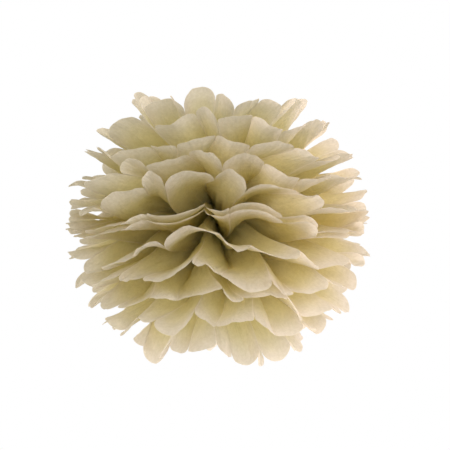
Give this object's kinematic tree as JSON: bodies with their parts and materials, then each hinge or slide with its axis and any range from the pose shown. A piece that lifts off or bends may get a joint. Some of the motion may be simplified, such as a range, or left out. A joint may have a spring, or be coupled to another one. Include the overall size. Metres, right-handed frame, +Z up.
{
  "type": "tissue paper pom pom",
  "caption": "Hanging ball of pleated tissue paper sheets, tied round the waist with wire and pulled apart into layers of rounded petals.",
  "frame": {"origin": "where a hanging thread bears inside the top of the tie wire's eye, in the middle of the ball", "axes": "+Z up along the line from the waist to the hanging eye; +Y along the length of the pleated strip, away from the camera of the picture; the seams between the two half fans face -X and +X, and -Y faces the camera"},
  "size_m": [0.3396, 0.3477, 0.2929],
  "materials": {
    "tissue_paper": "matte, thin and translucent khaki tissue paper",
    "tie_wire": "bare drawn wire"
  },
  "bodies": {
    "root": {"sheet_up_1": "tissue_paper", "sheet_up_2": "tissue_paper", "sheet_up_3": "tissue_paper", "sheet_up_4": "tissue_paper", "sheet_up_5": "tissue_paper", "sheet_up_6": "tissue_paper", "sheet_down_1": "tissue_paper", "sheet_down_2": "tissue_paper", "sheet_down_3": "tissue_paper", "sheet_down_4": "tissue_paper", "sheet_down_5": "tissue_paper", "sheet_down_6": "tissue_paper", "tie_wire": "tie_wire"}
  },
  "joints": []
}
